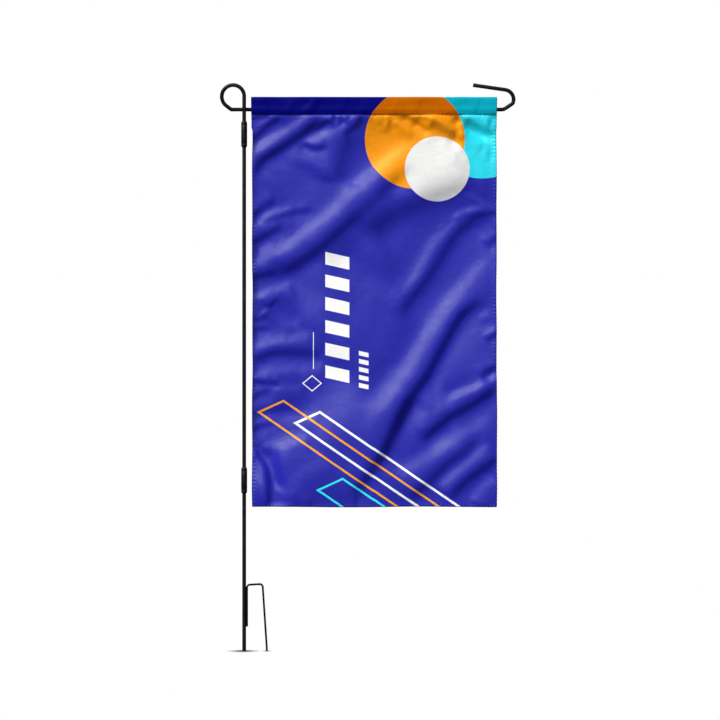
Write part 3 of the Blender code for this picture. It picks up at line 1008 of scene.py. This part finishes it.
def swept(name, path, radius, sides, chamfer, material):
    """A round wire along path with softly rounded cut ends."""
    path = [Vector(p) for p in path]
    first, last = (path[1] - path[0]).normalized(), (path[-2] - path[-1]).normalized()
    route = [(path[0] + first * chamfer * shift, radius * share) for shift, share in ROD_END]
    route += [(p, radius) for p in path[1:-1]]
    route += [(path[-1] + last * chamfer * shift, radius * share) for shift, share in reversed(ROD_END)]
    spots = [spot for spot, _ in route]
    normal = first.orthogonal().normalized()
    points = []
    for k, (spot, wide) in enumerate(route):
        if k < len(ROD_END):
            along = first
        elif k >= len(route) - len(ROD_END):
            along = -last
        else:
            along = (spots[k + 1] - spots[k - 1]).normalized()
        normal = (normal - along * normal.dot(along)).normalized()
        other = along.cross(normal)
        for m in range(sides):
            angle = 2.0 * math.pi * m / sides
            points.append(spot + wide * (normal * math.cos(angle) + other * math.sin(angle)))
    return solid(name, points, tube_faces(0, len(route), sides), material)


def turned(name, profile, sides, material, place, swell):
    """A solid turned about Z through place, from a (radius, height) profile run down its outside."""
    points, faces, rings = [], [], []
    for radius, height in profile:
        count = sides if radius > 0.0 else 1
        rings.append(list(range(len(points), len(points) + count)))
        for k in range(count):
            angle = 2.0 * math.pi * k / sides
            wide = radius + swell(angle, height) if radius > 0.0 else 0.0
            spot = Vector((wide * math.cos(angle), wide * math.sin(angle), height))
            points.append(place + spot)
    for upper, lower in zip(rings, rings[1:]):
        for k in range(sides):
            n = (k + 1) % sides
            ring = [upper[k % len(upper)], lower[k % len(lower)],
                    lower[n % len(lower)], upper[n % len(upper)]]
            faces.append([v for i, v in enumerate(ring) if v not in ring[:i]])
    return solid(name, points, faces, material)


def arm_route():
    """Stub, pigtail eye, arm and hook, from the middle of the upper coupler."""
    eye_z = STUB_DROP + EYE_RISE
    points = [Vector((0.0, 0.0, ROD_SEAT)), Vector((0.0, 0.0, ROD_SEAT + STUB_STRAIGHT))]
    steps = math.ceil(EYE_SWEEP / BEND_STEP)
    back = MIDDLE_Y
    for k in range(steps + 1):
        share = k / steps
        angle = EYE_SWEEP * share
        points.append(Vector((
            EYE_RADIUS * (math.cos(angle) - 1.0),
            back * eased(share),
            eye_z + EYE_RADIUS * math.sin(angle),
        )))
    last = points.pop()
    run = (last.z - STUB_DROP) * math.tan(EYE_SWEEP)
    corners = [last, last + Vector((run, 0.0, STUB_DROP - last.z))]
    corners.append(Vector((RIGHT + ARM_SPARE, back, STUB_DROP)))
    for length, heading, _ in HOOK_LEGS:
        angle = math.radians(heading)
        corners.append(corners[-1] + Vector((length * math.cos(angle), 0.0, length * math.sin(angle))))
    line = points + rounded(corners, [EYE_KINK_RADIUS] + [radius for _, _, radius in HOOK_LEGS])
    return [Vector((0.0, 0.0, JOINT_Z)) + p for p in line]


def prong_route():
    side = (stake_high.x - stake_low.x) / 2.0 + PRONG_RADIUS - PRONG_SINK
    foot = PRONG_REACH + PRONG_SPLAY
    corners = [
        Vector((side, 0.0, PRONG_LOW_END)),
        Vector((side, 0.0, PRONG_SHOULDER)),
        Vector((PRONG_REACH, 0.0, PRONG_SHOULDER + PRONG_BAR_RISE)),
        Vector((foot, 0.0, PRONG_FOOT)),
        Vector((foot, 0.0, 0.0)),
    ]
    return rounded(corners, [PRONG_BEND, PRONG_BEND, PRONG_BEND])


def build_coupler(node):
    low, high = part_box(node)
    half = (high.z - low.z) / 2.0
    outer = (high.x - low.x) / 2.0
    bore = ROD + SOCKET_CLEARANCE
    mouth = bore + COUPLER_WALL
    taper = half - COUPLER_TAPER
    ring = taper - GROOVE_IN
    # each corner is cut by about a tenth of a millimetre
    side = [
        (bore, COUPLER_STOP), (bore, half - 0.0002), (bore + 0.00012, half), (mouth - 0.0001, half),
        (mouth, half - 0.00012), (outer - 0.0001, taper + 0.00022), (outer, taper - 0.00012),
    ]
    side += [(outer - deep, ring + away) for away, deep in COUPLER_GROOVE]
    side += [(outer - deep, ring - away) for away, deep in reversed(COUPLER_GROOVE)]
    side.append((outer, COUPLER_STOP))
    profile = [(0.0, COUPLER_STOP)] + side + [(r, -z) for r, z in reversed(side)] + [(0.0, -COUPLER_STOP)]

    def parting(angle, height):
        """The mould's parting line, a fine rib on either side."""
        away = abs(math.sin(angle)) / PARTING_SHARP
        return -PARTING_RIB * (1.0 - math.exp(-away ** 2)) if abs(height) < taper - 0.0001 else 0.0

    plastic = moulded_plastic(node + "_moulding")
    piece = turned(node + "_sleeve", profile, COUPLER_SIDES, plastic, middle(node), parting)
    put(piece, node, node)


def build_weld(node):
    low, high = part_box(node)
    half, radius = (high.z - low.z) / 2.0, (high.x - low.x) / 2.0
    profile = [(0.0, half)]
    for k in range(1, WELD_STEPS):
        height = half * math.cos(math.pi * k / WELD_STEPS)
        past = max(0.0, (abs(height) - (half - radius)) / radius)
        round_end = math.sqrt(max(0.0, 1.0 - past ** 2))
        ripple = abs(math.sin(height * math.pi / WELD_RIPPLE))
        wide = radius * round_end * (1.0 - WELD_RIPPLE_SHARE * (1.0 - ripple))
        profile.append((wide, height))
    profile.append((0.0, -half))

    def lumps(angle, height):
        spot = Vector((2.0 * math.cos(angle), 2.0 * math.sin(angle), height / 0.0008))
        return WELD_LUMP * noise.noise(spot)

    metal = coated_weld(node + "_metal")
    piece = turned(node + "_bead", profile, WELD_SIDES, metal, middle(node), lumps)
    put(piece, "ground_stake", node)


def straight(low, high):
    """An upright rod's line, with a point a little inside each end."""
    heights = (low, low + END_PART, (low + high) / 2.0, high - END_PART, high)
    return [Vector((0.0, 0.0, z)) for z in heights]


def build_stand():
    rods = (                   # piece, its body and CAD node, line, gloss, scuffed up to
        ("stake", "ground_stake", straight(0.0, stake_high.z), 0.40, 0.10),
        ("pole", "middle_pole", straight(rod_low.z, rod_high.z), 0.45, 0.0),
        ("arm", "top_arm", arm_route(), 0.22, 0.0),
    )
    for piece, node, line, gloss, scuffed in rods:
        coat = powder_coat(piece + "_coat", gloss, scuffed)
        rod = swept(piece + "_rod", line, ROD, ROD_SIDES, ROD_CHAMFER, coat)
        put(rod, node, node)
    coat = powder_coat("prong_coat", 0.12, 0.03)
    prong = swept("prong_wire", prong_route(), PRONG_RADIUS, WIRE_SIDES, WIRE_CHAMFER, coat)
    put(prong, "ground_stake", "step_prong")
    for node in ("lower_coupler", "upper_coupler"):
        build_coupler(node)
    for node in ("prong_weld_upper", "prong_weld_lower"):
        build_weld(node)


# ---------------- stage

def build_floor():
    """A pale floor with a painted soft shadow where each foot touches it."""
    mesh = bpy.data.meshes.new("floor")
    half = FLOOR_SIZE / 2.0
    mesh.from_pydata([(-half, -half, 0.0), (half, -half, 0.0), (half, half, 0.0), (-half, half, 0.0)],
                     [], [(0, 1, 2, 3)])
    net = Net("pale_floor")
    place = net.place()
    split = net.node("ShaderNodeSeparateXYZ")
    net.put(split.inputs[0], place)
    shade = None
    # a painted shadow round each foot darkens the floor's glow
    for x, wide, deep, dark in FLOOR_SHADES:
        dx = net.math("DIVIDE", net.math("SUBTRACT", split.outputs[0], x), wide)
        dy = net.math("DIVIDE", split.outputs[1], deep)
        away = net.math("SQRT", net.math("MULTIPLY_ADD", dx, dx, net.math("MULTIPLY", dy, dy)))
        spot = net.ramp(away, 0.05, 1.0, 1.0 - dark, 1.0)
        shade = spot if shade is None else net.math("MULTIPLY", shade, spot)
    light = net.node("ShaderNodeEmission")
    net.put(light.inputs["Strength"], shade)
    net.tree.links.new(light.outputs[0], net.tree.nodes["Material Output"].inputs["Surface"])
    floor = linked("floor", mesh, net.material)
    floor.location.z = -FLOOR_DROP
    floor.visible_diffuse = False
    floor.visible_glossy = False
    floor.visible_shadow = False


def area_light(name, start, aim, size, power, seen_in_gloss):
    data = bpy.data.lights.new(name, "AREA")
    data.shape = "DISK"
    data.size = size
    data.energy = power
    lamp = bpy.data.objects.new(name, data)
    lamp.location = start
    lamp.rotation_euler = (aim - start).to_track_quat("-Z", "Y").to_euler()
    lamp.visible_camera = False
    lamp.visible_glossy = seen_in_gloss
    bpy.context.scene.collection.objects.link(lamp)


def build_stage():
    build_floor()
    aim = Vector(((LEFT + RIGHT) / 2.0, MIDDLE_Y, (TOP + BOTTOM) / 2.0))
    for name, away, size, power, in_gloss in LAMPS:
        area_light(name, aim + Vector(away), aim, size, power, in_gloss)
    build_world()
    build_camera()


def build_world():
    """White to the camera, and a faint even light to the object."""
    world = bpy.data.worlds.new("studio")
    world.use_nodes = True
    nodes, links = world.node_tree.nodes, world.node_tree.links
    background = nodes["Background"]
    background.inputs["Color"].default_value = (1.0, 1.0, 1.0, 1.0)
    path = nodes.new("ShaderNodeLightPath")
    lit = nodes.new("ShaderNodeMath")
    lit.operation = "MULTIPLY"
    lit.inputs[1].default_value = WORLD_LIGHT
    strength = nodes.new("ShaderNodeMath")
    strength.operation = "MULTIPLY_ADD"
    strength.inputs[1].default_value = WORLD_SEEN
    links.new(path.outputs["Is Diffuse Ray"], lit.inputs[0])
    links.new(path.outputs["Is Camera Ray"], strength.inputs[0])
    links.new(lit.outputs[0], strength.inputs[2])
    links.new(strength.outputs[0], background.inputs["Strength"])
    bpy.context.scene.world = world


def build_camera():
    data = bpy.data.cameras.new("camera")
    data.lens = LENS
    data.sensor_width = SENSOR
    data.clip_start, data.clip_end = CLIP
    camera = bpy.data.objects.new("camera", data)
    camera.location = CAMERA
    camera.rotation_euler = (math.pi / 2.0, 0.0, 0.0)
    bpy.context.scene.collection.objects.link(camera)
    bpy.context.scene.camera = camera
    bpy.context.scene.view_settings.view_transform = "Standard"


build_stage()
build_stand()
flag = build_flag()
threads = build_stitching()
